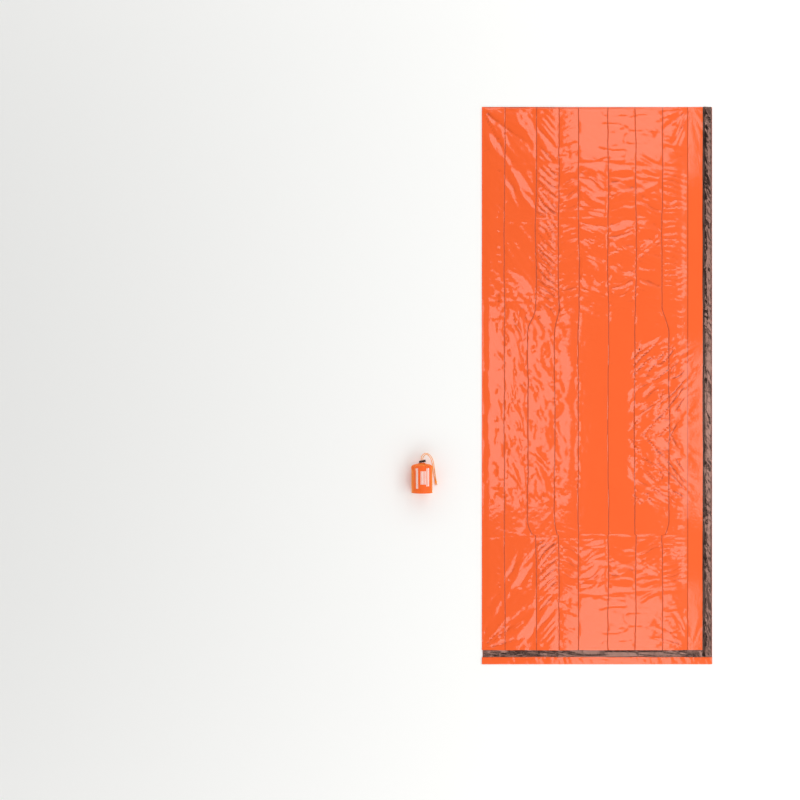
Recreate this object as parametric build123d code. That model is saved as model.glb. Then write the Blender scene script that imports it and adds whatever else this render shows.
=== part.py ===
from build123d import *

import math
import os

# Emergency bivy sack laid out flat, with its round stuff sack lying beside it.
#
# Frame: +Z up, +Y from the open mouth to the sealed head, +X across the bag from its folded side
# to its sealed side. The origin is the middle of the lower film's underside. Millimetres.

# ---- driving dimensions: film bag ------------------------------------------------------------
bag_length = 2130.0
bag_width = 880.0
shell_film = 0.3  # coloured outer ply of the film
liner_film = 0.2  # metallised inner ply
loft = 8.0  # height of the crinkled bag, lower film's underside to upper film's top
side_margin = 37.0  # lower film showing beyond the sealed side
mouth_margin = 54.0  # lower film showing beyond the upper film's mouth edge
hem_width = 27.0  # lower film turned up and back at the mouth
seal_band = 48.0  # width of the welded side
head_band = 14.0  # width of the welded head end
seal_ramp = 10.0  # width over which the upper film comes down to a weld
flap_length = 480.0  # stretch of the upper film that gapes at the mouth
slit = 0.5  # air between the flap and what it lies beside

# ---- driving dimensions: stuff sack ----------------------------------------------------------
sack_radius = 40.0
wall_height = 97.0  # straight part of the cloth wall
sack_height = 113.0  # base to the top of the gathered mouth
shoulder_round = 6.5  # how far the shoulder's corner comes in, and how far it rises
cloth = 0.6
seam_lap = 6.0
seam_thickness = 0.5
base_seam_radius = 1.4
ring_radius = 10.0  # gathered mouth's channel, at the middle of its cord
channel_radius = 3.2
channel_cloth = 0.7
ink = 0.1
bars = ((-19.0, 7.0, 18.0, 95.0), (4.0, 18.0, 34.0, 84.0), (21.5, 9.0, 27.0, 95.0))  # across, wide, low, high
stripe_pitch = 4.5  # about two stripe widths
sack_beside_bag = 230.0  # bag's folded edge to the sack's axis
sack_middle_y = -350.0

# ---- driving dimensions: drawcord and cord lock ----------------------------------------------
cord_radius = 1.3
cord_on_floor = cord_radius + 0.1
knot_half = Vector(4.7, 6.0, 4.4)
knot_across = 54.0
knot_up = 38.0
tip_length = 8.0
lock_tilt = 10.0  # degrees that the lock's barrel slopes across the mouth
lock_gap = 2.6  # air between the mouth and the lock
lock_across = 1.0
barrel_radius = 4.1
barrel_length = 22.0
barrel_left = -9.0  # barrel's open end, from the lock's middle
bore_radius = 2.9
end_wall = 2.0
grip_radius = 4.7
grip_start = 6.4
grip_rings = 5
cord_hole_radius = 1.65
cord_stations = (-4.1, 3.6)  # the two cord holes along the barrel
plunger_radius = 2.8
plunger_end = 6.0
plunger_head_radius = 3.9
plunger_head = 1.5
plunger_travel = 1.9
slot_clearance = 0.05
slot_play = 0.5
spring_wire = 0.22
spring_radius = 2.2
spring_turns = 5

# ---- places worked out from them -------------------------------------------------------------
film = shell_film + liner_film
left = -bag_width / 2
right = bag_width / 2
foot = -bag_length / 2
head = bag_length / 2
mouth = foot + mouth_margin
seal_outer = right - side_margin
seal_inner = seal_outer - seal_band
roof = loft - film  # underside of the upper film
fold_radius = (loft - film) / 2
upper_left = left + fold_radius
upper_right = seal_inner - seal_ramp
upper_head = head - head_band - seal_ramp
hinge_y = mouth + flap_length

seam_middle = sack_radius - 0.6  # base seam's radius, at the middle of its roll
sack_x = left - sack_beside_bag
sack_z = seam_middle + base_seam_radius
sack_base_y = sack_middle_y - sack_height / 2
ring_up = sack_height - channel_radius
barrel_right = barrel_left + barrel_length


def slab(x0, x1, y0, y1, z0, z1):
    """A flat plate between two opposite corners."""
    return Pos((x0 + x1) / 2, (y0 + y1) / 2, (z0 + z1) / 2) * Box(x1 - x0, y1 - y0, z1 - z0)


def sack_point(across, up, height):
    """A point near the lying sack: across from its axis, up from its base, over the floor."""
    return Vector(sack_x + across, sack_base_y + up, height)


# ---- film bag --------------------------------------------------------------------------------
def lower_ply(z0, z1):
    return slab(left, right, foot, head, z0, z1)


def upper_ply(z0, z1):
    return slab(upper_left, upper_right, hinge_y + slit, upper_head, z0, z1)


def flap_ply(z0, z1):
    return slab(upper_left + slit, upper_right - slit, mouth, hinge_y, z0, z1)


def side_fold():
    """The film's own fold along the left side, a half tube from the lower to the upper film."""
    length = upper_head - mouth
    tube = Cylinder(fold_radius, length) - Cylinder(fold_radius - film, length)
    tube = Pos(upper_left, (mouth + upper_head) / 2, film + fold_radius) * Rotation(90, 0, 0) * tube
    return tube & slab(left, upper_left, mouth, upper_head, film, loft)


def side_seal():
    """The welded side: the upper film comes down a ramp and lies flat on the lower film."""
    outline = Polyline(
        (upper_right, roof),
        (upper_right, loft),
        (seal_inner, 2 * film),
        (seal_outer, 2 * film),
        (seal_outer, film),
        (seal_inner - film, film),
        close=True,
    )
    return extrude(Plane.XZ.offset(-mouth) * make_face(outline), amount=mouth - upper_head)


def head_seal():
    """The welded head end with its ramp, and the flat corner beside the side seal."""
    outline = Polyline(
        (upper_head, roof),
        (upper_head, loft),
        (head - head_band, 2 * film),
        (head, 2 * film),
        (head, film),
        (head - head_band - film, film),
        close=True,
    )
    ramp = extrude(Plane.YZ.offset(left) * make_face(outline), amount=upper_right - left)
    return ramp + slab(upper_right, seal_outer, upper_head, head, film, 2 * film)


def mouth_hem():
    """The lower film's foot edge, turned up and back with its outer ply showing."""
    return slab(left, right, foot, foot + hem_width, film, film + shell_film)


# ---- stuff sack, modelled standing with +Z out of its mouth, then laid down --------------------
def lay_down(shape):
    return Pos(sack_x, sack_base_y, sack_z) * Rotation(-90, 0, 0) * shape


def sack_wall():
    """Cloth tube with a rounded shoulder that gathers in to the mouth's channel."""
    bottom = 2 * base_seam_radius
    neck = (ring_radius + 1.2, ring_up - 1.5)
    inner_neck = (neck[0] - 0.4 * cloth, neck[1] - cloth)
    inner_radius = sack_radius - cloth
    corner = (sack_radius - shoulder_round, wall_height + shoulder_round)
    inner_corner = (corner[0] - 0.4 * cloth, corner[1] - cloth)
    ends = [(0, 1), (-1, 0.05)]
    outer = Spline((sack_radius, wall_height), corner, neck, tangents=ends)
    inner = Spline((inner_radius, wall_height), inner_corner, inner_neck, tangents=ends)
    edges = [
        Line((sack_radius, bottom), (sack_radius, wall_height)),
        outer,
        Line(neck, inner_neck),
        inner,
        Line((inner_radius, wall_height), (inner_radius, bottom)),
        Line((inner_radius, bottom), (sack_radius, bottom)),
    ]
    wall = revolve(Plane.XZ * make_face(edges), Axis.Z)
    return wall - Pos(0, 0, ring_up) * Torus(ring_radius, channel_radius)


def sack_base():
    disc = Cylinder(seam_middle - base_seam_radius, cloth)
    return Pos(0, 0, base_seam_radius + cloth / 2) * disc


def base_seam():
    """The rolled seam that joins the wall to the round base."""
    return Pos(0, 0, base_seam_radius) * Torus(seam_middle, base_seam_radius)


def ring_piece(outer, inner, across, wide, low, high, side):
    """A curved patch of a tube's wall: side -1 faces up once the sack lies, 1 faces the floor."""
    height = high - low
    tube = Cylinder(outer, height) - Cylinder(inner, height)
    patch = tube & Pos(across, side * outer / 2 + side * 1.0, 0) * Box(wide, outer, height)
    return Pos(0, 0, (low + high) / 2) * patch


def side_seam():
    """The lapped seam inside the back of the wall."""
    inside = sack_radius - cloth
    return ring_piece(inside, inside - seam_thickness, 0, seam_lap, 6.0, wall_height - 4.0, 1)


def printed_bars():
    """Plain white print on the wall that faces up: each bar is stripes, with gaps as wide."""
    stripes = []
    for across, wide, low, high in bars:
        count = max(2, round(wide / stripe_pitch))
        stripe = wide / (2 * count - 1)
        for k in range(count):
            middle = across - wide / 2 + (2 * k + 0.5) * stripe
            stripes.append(ring_piece(sack_radius + ink, sack_radius, middle, stripe, low, high, -1))
    return Compound(children=stripes)


def channel_ring(outer, inner=0.0):
    """A ring round the mouth, solid or hollow."""
    section = Pos(ring_radius, 0) * Circle(outer)
    if inner:
        section -= Pos(ring_radius, 0) * Circle(inner)
    return Pos(0, 0, ring_up) * revolve(Plane.XZ * section, Axis.Z)


# ---- drawcord --------------------------------------------------------------------------------
lock_u = Vector(math.cos(math.radians(lock_tilt)), math.sin(math.radians(lock_tilt)), 0)
lock_v = Vector(-math.sin(math.radians(lock_tilt)), math.cos(math.radians(lock_tilt)), 0)
lock_middle = sack_point(lock_across, sack_height + lock_gap + barrel_radius, sack_z + 8.9)


def tail_start(station):
    """Where a tail comes off the cord in the channel, straight below its hole in the lock."""
    at_lock = lock_middle + lock_u * station
    below = at_lock.Y - (sack_base_y + ring_up + cord_radius + 0.6)
    return at_lock - lock_v * (below / lock_v.Y)


def left_route():
    """The outer tail: through the lock, over in an arc and down beside the sack to the knot."""
    start = tail_start(cord_stations[0])
    return [
        start,
        start + lock_v * 23.5,
        sack_point(10.0, 152.0, 45.5),
        sack_point(29.5, 145.5, 34.0),
        sack_point(42.5, 125.0, 18.0),
        sack_point(47.0, 101.0, 5.0),
        sack_point(50.2, 78.0, cord_on_floor),
        sack_point(52.6, 58.5, cord_on_floor),
        sack_point(55.6, 41.5, 3.0),
    ]


def right_route():
    """The inner tail, tighter in the arc and bowed away from the outer one beside the sack."""
    start = tail_start(cord_stations[1])
    return [
        start,
        start + lock_v * 21.5,
        sack_point(15.6, 149.5, 45.0),
        sack_point(30.5, 136.0, 32.0),
        sack_point(38.5, 117.0, 15.0),
        sack_point(42.5, 95.5, 4.0),
        sack_point(44.2, 75.0, cord_on_floor),
        sack_point(48.0, 57.5, cord_on_floor),
        sack_point(52.4, 41.5, 3.0),
    ]


def corner_radii(points):
    """The largest even arc at each corner, from its shorter run and its turn."""
    radii = []
    for before, here, after in zip(points, points[1:], points[2:]):
        turn = math.radians((here - before).get_angle(after - here))
        shorter = min((here - before).length, (after - here).length)
        radii.append(0.45 * shorter / math.tan(turn / 2))
    return radii


def cord_tube(points):
    radii = corner_radii(points)
    path = FilletPolyline(*points, radius=radii)
    tube = sweep(Plane(path @ 0, z_dir=path % 0) * Circle(cord_radius), path)
    share = tube.volume / (math.pi * cord_radius**2 * path.length)
    runs = [round((b - a).length, 1) for a, b in zip(points, points[1:])]
    print("runs", runs, "radii", [round(r, 1) for r in radii])
    print("length", round(path.length, 1), "volume over section times length", round(share, 3))
    return tube


def cord_tips():
    """The two cut and heat-sealed ends below the knot."""
    tips = []
    for across, lean in ((2.2, 28.0), (-1.4, -8.0)):
        tip = Cylinder(cord_radius, tip_length, align=(Align.CENTER, Align.CENTER, Align.MIN))
        tip = fillet(tip.edges().sort_by(Axis.Z)[-1], cord_radius / 3)
        place = sack_point(knot_across + across, knot_up - knot_half.Y + 2.0, 2.2)
        tips.append(Pos(*place) * Rotation(0, 0, lean) * Rotation(90, 0, 0) * tip)
    return Compound(children=tips)


def tail_outside_channel(points):
    """A tail from the channel's outer surface onwards."""
    return cord_tube(points) - lay_down(channel_ring(channel_radius))


def drawcord_knot(cords):
    """The overhand knot in both tails, as one rounded lump with the cords running into it."""
    lump = scale(Sphere(1), by=tuple(knot_half))
    lump = Pos(*sack_point(knot_across, knot_up, knot_half.Z)) * lump
    for cord in cords:
        lump -= cord
    return lump


# ---- cord lock, modelled along X with its cord holes along Y ----------------------------------
def place_lock(shape):
    return Pos(*lock_middle) * Rotation(0, 0, lock_tilt) * shape


def turned(*outline):
    """A round solid from its (x, radius) outline."""
    return revolve(make_face(Polyline(*outline, close=True)), Axis.X)


def lock_barrel():
    """Housing with a blind bore, two cord holes and a ringed grip at its closed end."""
    pitch = (barrel_right - grip_start) / grip_rings
    rim = [(barrel_left, bore_radius), (barrel_left, barrel_radius)]
    for ring in range(grip_rings):
        rise = grip_start + (ring + 0.4) * pitch
        rim += [(rise, barrel_radius), (rise, grip_radius)]
        rim += [(rise + 0.6 * pitch, grip_radius)]
        if ring < grip_rings - 1:
            rim += [(rise + 0.6 * pitch, barrel_radius)]
    bore = barrel_right - end_wall
    body = turned(*rim, (barrel_right, 0), (bore, 0), (bore, bore_radius))
    for station in cord_stations:
        body -= Pos(station, 0, 0) * Rotation(90, 0, 0) * Cylinder(cord_hole_radius, 12)
    return body


def lock_plunger():
    """Push-in core: head, neck and two slots that stay round the cords through its travel."""
    tip = barrel_left - plunger_travel - 0.1
    core = turned(
        (tip - plunger_head, 0),
        (tip - plunger_head, plunger_head_radius),
        (tip, plunger_head_radius),
        (tip, plunger_radius),
        (plunger_end, plunger_radius),
        (plunger_end, 0),
    )
    slot = SlotCenterToCenter(plunger_travel + slot_play, 2 * (cord_radius + slot_clearance))
    for station in cord_stations:
        middle = station - plunger_travel / 2
        core -= Pos(middle, 0, 0) * extrude(Plane.XZ * slot, amount=5, both=True)
    return core


def lock_spring():
    """Compression spring between the core and the end of the bore."""
    start = plunger_end + spring_wire + 0.05
    length = barrel_right - end_wall - spring_wire - 0.05 - start
    coil = Helix(pitch=length / spring_turns, height=length, radius=spring_radius)
    wire = Plane(coil @ 0, z_dir=coil % 0) * Circle(spring_wire)
    return Pos(start, 0, 0) * Rotation(0, 90, 0) * sweep(wire, coil, is_frenet=True)


# ---- the sub-parts ---------------------------------------------------------------------------
left_tail = tail_outside_channel(left_route())
right_tail = tail_outside_channel(right_route())
tips = cord_tips()

parts = {
    "lower_shell": lower_ply(0, shell_film),
    "lower_liner": lower_ply(shell_film, film),
    "upper_shell": upper_ply(loft - shell_film, loft),
    "upper_liner": upper_ply(roof, roof + liner_film),
    "flap_shell": flap_ply(loft - shell_film, loft),
    "flap_liner": flap_ply(roof, roof + liner_film),
    "side_fold": side_fold(),
    "side_seal": side_seal(),
    "head_seal": head_seal(),
    "mouth_hem": mouth_hem(),
    "sack_wall": lay_down(sack_wall()),
    "sack_base": lay_down(sack_base()),
    "base_seam": lay_down(base_seam()),
    "side_seam": lay_down(side_seam()),
    "printed_bars": lay_down(printed_bars()),
    "cord_channel": lay_down(channel_ring(channel_radius, channel_radius - channel_cloth)),
    "drawcord_loop": lay_down(channel_ring(cord_radius)),
    "drawcord_left_tail": left_tail,
    "drawcord_right_tail": right_tail,
    "drawcord_knot": drawcord_knot([left_tail, right_tail, tips]),
    "drawcord_tips": tips,
    "lock_barrel": place_lock(lock_barrel()),
    "lock_plunger": place_lock(lock_plunger()),
    "lock_spring": place_lock(lock_spring()),
}

os.makedirs("parts", exist_ok=True)
for name, shape in parts.items():
    export_step(shape, f"parts/{name}.step")
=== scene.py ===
import math

import bpy
import numpy as np
from mathutils import Matrix, Vector


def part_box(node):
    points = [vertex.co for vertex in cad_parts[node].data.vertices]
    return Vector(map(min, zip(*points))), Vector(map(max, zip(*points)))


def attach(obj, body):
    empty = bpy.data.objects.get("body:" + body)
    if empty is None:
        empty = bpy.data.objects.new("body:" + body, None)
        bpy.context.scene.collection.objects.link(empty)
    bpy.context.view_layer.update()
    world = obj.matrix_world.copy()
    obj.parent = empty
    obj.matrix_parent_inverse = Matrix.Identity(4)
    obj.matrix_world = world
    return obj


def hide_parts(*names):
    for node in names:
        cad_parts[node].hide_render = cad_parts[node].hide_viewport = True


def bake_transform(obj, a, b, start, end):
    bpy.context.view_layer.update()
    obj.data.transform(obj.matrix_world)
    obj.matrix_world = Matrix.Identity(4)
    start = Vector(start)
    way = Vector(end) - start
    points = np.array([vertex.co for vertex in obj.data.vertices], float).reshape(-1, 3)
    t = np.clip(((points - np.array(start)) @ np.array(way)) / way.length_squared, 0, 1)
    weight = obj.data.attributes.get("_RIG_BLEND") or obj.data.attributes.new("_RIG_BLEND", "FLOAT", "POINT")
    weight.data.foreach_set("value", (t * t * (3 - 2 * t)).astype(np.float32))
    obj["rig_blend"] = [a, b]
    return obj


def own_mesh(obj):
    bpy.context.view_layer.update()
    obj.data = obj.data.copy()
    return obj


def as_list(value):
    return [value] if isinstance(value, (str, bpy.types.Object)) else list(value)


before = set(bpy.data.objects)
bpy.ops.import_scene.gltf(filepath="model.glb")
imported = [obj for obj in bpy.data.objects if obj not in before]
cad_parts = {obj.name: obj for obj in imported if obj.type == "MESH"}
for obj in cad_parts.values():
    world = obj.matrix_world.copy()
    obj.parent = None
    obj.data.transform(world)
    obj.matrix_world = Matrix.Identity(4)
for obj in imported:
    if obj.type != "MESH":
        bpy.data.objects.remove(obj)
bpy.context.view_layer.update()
bpy.ops.object.select_all(action="DESELECT")

mm = 0.001

lowerLow, lowerHigh = (Vector(corner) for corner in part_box("lower_shell"))
linerHigh = Vector(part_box("lower_liner")[1])
upperHigh = Vector(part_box("upper_shell")[1])
flapLow, flapHigh = (Vector(corner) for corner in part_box("flap_shell"))
sealHigh = Vector(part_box("side_seal")[1])
hemHigh = Vector(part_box("mouth_hem")[1])
wallLow, wallHigh = (Vector(corner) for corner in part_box("sack_wall"))
seamLow, seamHigh = (Vector(corner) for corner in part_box("base_seam"))
channelLow, channelHigh = (Vector(corner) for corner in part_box("cord_channel"))

bagLeft, bagFoot = lowerLow.x, lowerLow.y
bagRight, bagHead = lowerHigh.x, lowerHigh.y
bagWidth, bagLength = bagRight - bagLeft, bagHead - bagFoot
loft = upperHigh.z
filmTop = linerHigh.z
mouthV = flapLow.y - bagFoot
hingeY = flapHigh.y
sealU = sealHigh.x - bagLeft


# ---- small helpers

def hexColour(code):
    parts = [int(code[i:i + 2], 16) / 255 for i in (0, 2, 4)]
    linear = [c / 12.92 if c <= 0.04045 else ((c + 0.055) / 1.055) ** 2.4 for c in parts]
    return (*linear, 1.0)


def addNode(tree, kind, settings=None, links=None):
    node = tree.nodes.new(kind)
    for name, value in (settings or {}).items():
        if isinstance(name, int) or name in node.inputs:
            node.inputs[name].default_value = value
        else:
            setattr(node, name, value)
    for name, source in (links or {}).items():
        tree.links.new(source, node.inputs[name])
    return node


def newMaterial(name, look):
    material = bpy.data.materials.new(name)
    material.use_nodes = True
    tree = material.node_tree
    tree.nodes.clear()
    output = addNode(tree, "ShaderNodeOutputMaterial")
    shader = addNode(tree, "ShaderNodeBsdfPrincipled", look)
    tree.links.new(shader.outputs[0], output.inputs[0])
    return material, tree, shader


def smoothStep(x):
    x = np.clip(x, 0.0, 1.0)
    return x * x * (3 - 2 * x)


def latticeValue(i, j, seed):  # a repeatable value from -1 to 1 at each whole lattice point
    h = (i.astype(np.int64) * 374761393 + j.astype(np.int64) * 668265263 + seed * 974634777)
    h = (h ^ (h >> 13)) * 1274126177
    h = (h ^ (h >> 16)) & 0xFFFFFF
    return h / 0x7FFFFF - 1.0


def softNoise(x, y, seed):
    i, j = np.floor(x), np.floor(y)
    a, b = smoothStep(x - i), smoothStep(y - j)
    low = latticeValue(i, j, seed) * (1 - a) + latticeValue(i + 1, j, seed) * a
    high = latticeValue(i, j + 1, seed) * (1 - a) + latticeValue(i + 1, j + 1, seed) * a
    return low * (1 - b) + high * b


def facetNoise(x, y, seed):  # flat triangles that meet at straight sharp creases
    wx = x + 0.45 * softNoise(x * 0.6 + 3.1, y * 0.6, seed + 11)
    wy = y + 0.45 * softNoise(x * 0.6, y * 0.6 + 7.7, seed + 12)
    a, b = wx + wy * 0.577, wy * 1.155
    i, j = np.floor(a), np.floor(b)
    a, b = a - i, b - j
    v10, v01 = latticeValue(i + 1, j, seed), latticeValue(i, j + 1, seed)
    v00, v11 = latticeValue(i, j, seed), latticeValue(i + 1, j + 1, seed)
    low = v00 + a * (v10 - v00) + b * (v01 - v00)
    high = v11 + (1 - a) * (v01 - v11) + (1 - b) * (v10 - v11)
    return np.where(a + b < 1, low, high)


def lineNoise(x, size, seed, row=0):  # soft noise that varies along one line only
    return softNoise(x / size, 0 * x + row, seed)


def facets(x, y, layer, seed):  # facets given by their height, width and length
    height, width, length = layer
    return height * facetNoise(x / width, y / length, seed)


def gridMesh(name, points, closedAcross=False, attributes=None, uv=None):
    # points is rows x columns x 3; faces point up where columns run +X and rows run +Y
    rows, columns = points.shape[:2]
    index = np.arange(rows * columns).reshape(rows, columns)
    if closedAcross:
        nextIndex = np.roll(index, -1, axis=1)
        quads = np.stack([index[:-1], nextIndex[:-1], nextIndex[1:], index[1:]], axis=-1)
    else:
        quads = np.stack([index[:-1, :-1], index[:-1, 1:], index[1:, 1:], index[1:, :-1]], axis=-1)
    quads = quads.reshape(-1, 4)
    mesh = bpy.data.meshes.new(name)
    mesh.vertices.add(rows * columns)
    mesh.vertices.foreach_set("co", points.reshape(-1).astype(np.float32))
    mesh.loops.add(quads.size)
    mesh.loops.foreach_set("vertex_index", quads.reshape(-1).astype(np.int32))
    mesh.polygons.add(len(quads))
    mesh.polygons.foreach_set("loop_start", (np.arange(len(quads)) * 4).astype(np.int32))
    mesh.update(calc_edges=True)
    mesh.validate()
    for key, values in (attributes or {}).items():
        layer = mesh.attributes.new(key, "FLOAT", "POINT")
        layer.data.foreach_set("value", values.reshape(-1).astype(np.float32))
    if uv is not None:
        layer = mesh.uv_layers.new(name="metres")
        flat = uv.reshape(-1, 2)[quads.reshape(-1)].astype(np.float32)
        if closedAcross:  # the last column of faces joins back to the first
            wrap = (np.arange(len(quads)) % columns) == columns - 1
            flat = flat.reshape(-1, 4, 2)
            flat[wrap, 1:3, 0] += uv[0, -1, 0] + (uv[0, 1, 0] - uv[0, 0, 0]) - uv[0, 0, 0]
            flat = flat.reshape(-1, 2)
        layer.data.foreach_set("uv", flat.reshape(-1))
    piece = bpy.data.objects.new(name, mesh)
    bpy.context.collection.objects.link(piece)
    return piece


def selectOnly(piece):
    bpy.ops.object.select_all(action="DESELECT")
    piece.select_set(True)
    bpy.context.view_layer.objects.active = piece


def giveMaterial(piece, material, degrees=None):
    # smooth all over, or only where faces meet at less than the given angle
    piece.data.materials.clear()
    piece.data.materials.append(material)
    selectOnly(piece)
    if degrees is None:
        bpy.ops.object.shade_smooth()
    else:
        bpy.ops.object.shade_smooth_by_angle(angle=math.radians(degrees))
    piece.select_set(False)


def closeSurface(piece, fill=True):
    # caps a tube's open ends, or joins a ring's meeting edges, and turns every face outwards
    selectOnly(piece)
    bpy.ops.object.mode_set(mode="EDIT")
    bpy.ops.mesh.select_all(action="SELECT")
    if fill:
        bpy.ops.mesh.fill_holes(sides=0)
    else:
        bpy.ops.mesh.remove_doubles(threshold=1e-6)
    bpy.ops.mesh.normals_make_consistent(inside=False)
    bpy.ops.mesh.select_all(action="DESELECT")
    bpy.ops.object.mode_set(mode="OBJECT")
    piece.select_set(False)


# ---- camera, light and floor

studio = {
    "viewCentre": (-0.753, -0.055),  # metres, on the floor
    "viewWidth": 3.059,
    "lens": 50.0,
    "sensor": 36.0,
    "panelHeight": 3.0,
    # each panel's low and high corners where the flat film would mirror them, from the bag's middle,
    # and its radiance: the near ones show in the film, and the sky gives most of the light
    "panels": {
        "headPanel": (-0.17, 0.80, 0.32, 2.0, 2.7),
        "footPanel": (-0.17, -2.0, 0.32, -0.76, 2.7),
        "leftPanel": (-0.63, -0.47, -0.13, 0.33, 2.7),
        "rightPanel": (0.31, -0.50, 1.60, 0.14, 2.7),
        "marginHeadPanel": (0.82, 0.14, 1.30, 1.60, 2.4),
        "marginFootPanel": (0.82, -1.60, 1.30, -0.50, 2.4),
        "farHeadPanel": (-4.2, 2.0, 2.4, 3.7, 1.4),
        "farFootPanel": (-4.2, -3.7, 2.4, -2.0, 1.4),
    },
    "skyOverhead": 0.03,
    "skyLow": 0.74,
    "floorColour": "FBFBF9",
}


def buildStudio():
    cx, cy = studio["viewCentre"]
    height = studio["viewWidth"] * studio["lens"] / studio["sensor"]
    camera = bpy.data.objects.new("camera", bpy.data.cameras.new("camera"))
    bpy.context.collection.objects.link(camera)
    camera.location = (cx, cy, height)
    camera.data.lens = studio["lens"]
    camera.data.sensor_width = studio["sensor"]
    camera.data.clip_end = 50
    bpy.context.scene.camera = camera

    # a panel is placed where a level film under it would mirror it into the view from above
    lift = studio["panelHeight"] / height
    for name, (x0, y0, x1, y1, radiance) in studio["panels"].items():
        low = (x0 + (x0 - cx) * lift, y0 + (y0 - cy) * lift)
        high = (x1 + (x1 - cx) * lift, y1 + (y1 - cy) * lift)
        light = bpy.data.lights.new(name, "AREA")
        light.shape = "RECTANGLE"
        light.size, light.size_y = high[0] - low[0], high[1] - low[1]
        light.energy = radiance * math.pi * light.size * light.size_y
        lamp = bpy.data.objects.new(name, light)
        lamp.location = ((low[0] + high[0]) / 2, (low[1] + high[1]) / 2, studio["panelHeight"])
        lamp.visible_camera = False
        bpy.context.collection.objects.link(lamp)

    world = bpy.data.worlds.new("softSky")
    world.use_nodes = True
    # darker overhead than round the sides, so that level film stays plain and steep folds light up
    tree = world.node_tree
    sky = tree.nodes["Background"]
    sky.inputs["Color"].default_value = (1, 1, 1, 1)
    place = addNode(tree, "ShaderNodeTexCoord")
    split = addNode(tree, "ShaderNodeSeparateXYZ", links={"Vector": place.outputs["Generated"]})
    limits = {
        "From Min": 0.95, "From Max": 0.65,
        "To Min": studio["skyOverhead"], "To Max": studio["skyLow"],
    }
    fade = addNode(tree, "ShaderNodeMapRange", limits, {"Value": split.outputs["Z"]})
    tree.links.new(fade.outputs[0], sky.inputs["Strength"])
    bpy.context.scene.world = world

    bpy.ops.mesh.primitive_plane_add(size=16, location=(cx, cy, -0.0002))
    floor = bpy.context.active_object
    floor.name = "floor"
    material, tree, shader = newMaterial("paleStudioFloor", {
        "Base Color": hexColour(studio["floorColour"]), "Roughness": 0.9,
        "Specular IOR Level": 0.1,
    })
    floor.data.materials.append(material)
    bpy.context.scene.view_settings.view_transform = "Standard"
    print("studio ready, camera", round(height, 3), "m up")


buildStudio()

# ---- film bag

filmShape = {
    "creases": (0.086, 0.206, 0.293, 0.370, 0.482, 0.587, 0.689, 0.787),  # from the fold, metres
    "creaseShift": (0.0, -0.030, -0.017, -0.003, 0.0, -0.004, 0.026, 0.0),  # amid the bag
    "folds": (0.055, 0.240, 0.479, 0.790, 1.000),  # cross folds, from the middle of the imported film
    "foldMiddle": -0.184,  # that middle, from the middle of the upper film
    "footSkip": (0.415, 0.368),  # towards the foot the folding leaves out this stretch: where, length
    "step": 0.0041,  # between grid rows along the bag
    "stepAcross": 0.0056,
    "level": 0.0045,  # the upper film's usual height
    "creaseHalfWidth": 0.0025,
    "creaseDepth": 0.0015,
    "sealHeight": 0.0016,
    "sealTilt": 0.016,
    "headBand": 0.003,
    "ramp": 0.046,
    # each column's ripple: length along the bag, height amid the bag, half way out and at the ends
    "ripplePitch": (0.060, 0.090, 0.034, 0.036, 0.050, 0.048, 0.042, 0.030, 0.030),
    "rippleMiddle": (0.0006, 0.0005, 0.0005, 0.0006, 0.0002, 0.0002, 0.0004, 0.0004, 0.00008),
    "rippleOut": (0.0008, 0.0028, 0.0006, 0.0018, 0.0028, 0.0028, 0.0022, 0.0004, 0.00012),
    "rippleEnd": (0.0012, 0.0018, 0.0014, 0.0009, 0.0005, 0.0005, 0.0006, 0.0009, 0.00015),
    "rippleSlant": (0.9, 0.8, 0.9, -0.5, 0.25, -0.3, 0.2, 0.05, 0.0),
    # saw ripples: height, length along the bag, and the share of it that faces the bag's end
    "sawHeight": (0.0, 0.0, 0.0034, 0.0008, 0.0021, 0.0019, 0.0014, 0.0018, 0.0),
    "sawPitch": (0.05, 0.05, 0.028, 0.026, 0.064, 0.054, 0.060, 0.0215, 0.05),
    "sawShare": (0.5, 0.5, 0.82, 0.45, 0.20, 0.22, 0.22, 0.42, 0.5),
    # where a ridge bends to a point at the sixth crease: from the middle, slant each side of it
    "chevrons": ((0.655, 0.55, 0.75), (0.885, 0.15, 0.50)),
    "pillow": (0.0003, 0.0006, 0.0005, 0.0005, 0.0002, 0.0002, 0.0004, 0.0003, 0.0),
    "foldDepth": 0.0008,
    "foldHalfWidth": 0.0036,
    "facetWidth": 0.085,
    "chevronHeight": 0.0027,
    "chevronHalfWidth": 0.021,
    "wrinkleDepth": 0.0010,
    "beads": (0.064, 0.0011),  # a string of small flats: from the fold, height
    "puckerHeight": 0.0016,  # along the crease amid the bag
    # crumpled patches: from the fold and from the film's middle, then height, facet width and length
    "leftPatch": (0.018, 0.345, -0.50, 0.36),
    "leftCrumple": (0.0013, 0.030, 0.080),
    "rightPatch": (0.55, 0.84, -0.50, 0.17),
    "rightCrumple": (0.0030, 0.050, 0.135),
    "rightMiddle": -0.215,  # the folds there slant away from this line, both ways
    # folds that fan out from a corner: from the fold, which end, how far they reach
    "fans": ((0.0, 1, 0.30), (0.0, -1, 0.26), (0.80, 1, 0.20), (0.80, -1, 0.22)),
    "fanHeight": 0.0022,
}

upperMid = (mouthV + bagLength) / 2
upperHalf = (bagLength - mouthV) / 2


def foldRun(v):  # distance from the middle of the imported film, as its folding repeats
    s = v - upperMid - filmShape["foldMiddle"]
    where, length = filmShape["footSkip"]
    return np.abs(s) + length * (s < -where)


def creaseLine(k, m):  # where a lengthwise crease runs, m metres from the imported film's middle
    at = filmShape["creases"][k]
    if k == len(filmShape["creases"]) - 1:
        return np.full_like(m, at)
    at = at + filmShape["creaseShift"][k] * (1 - smoothStep((m - 0.36) / 0.10))
    return at + 0.0026 * lineNoise(m, 0.15, 5, k) + 0.0009 * lineNoise(m, 0.035, 6, k)


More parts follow.
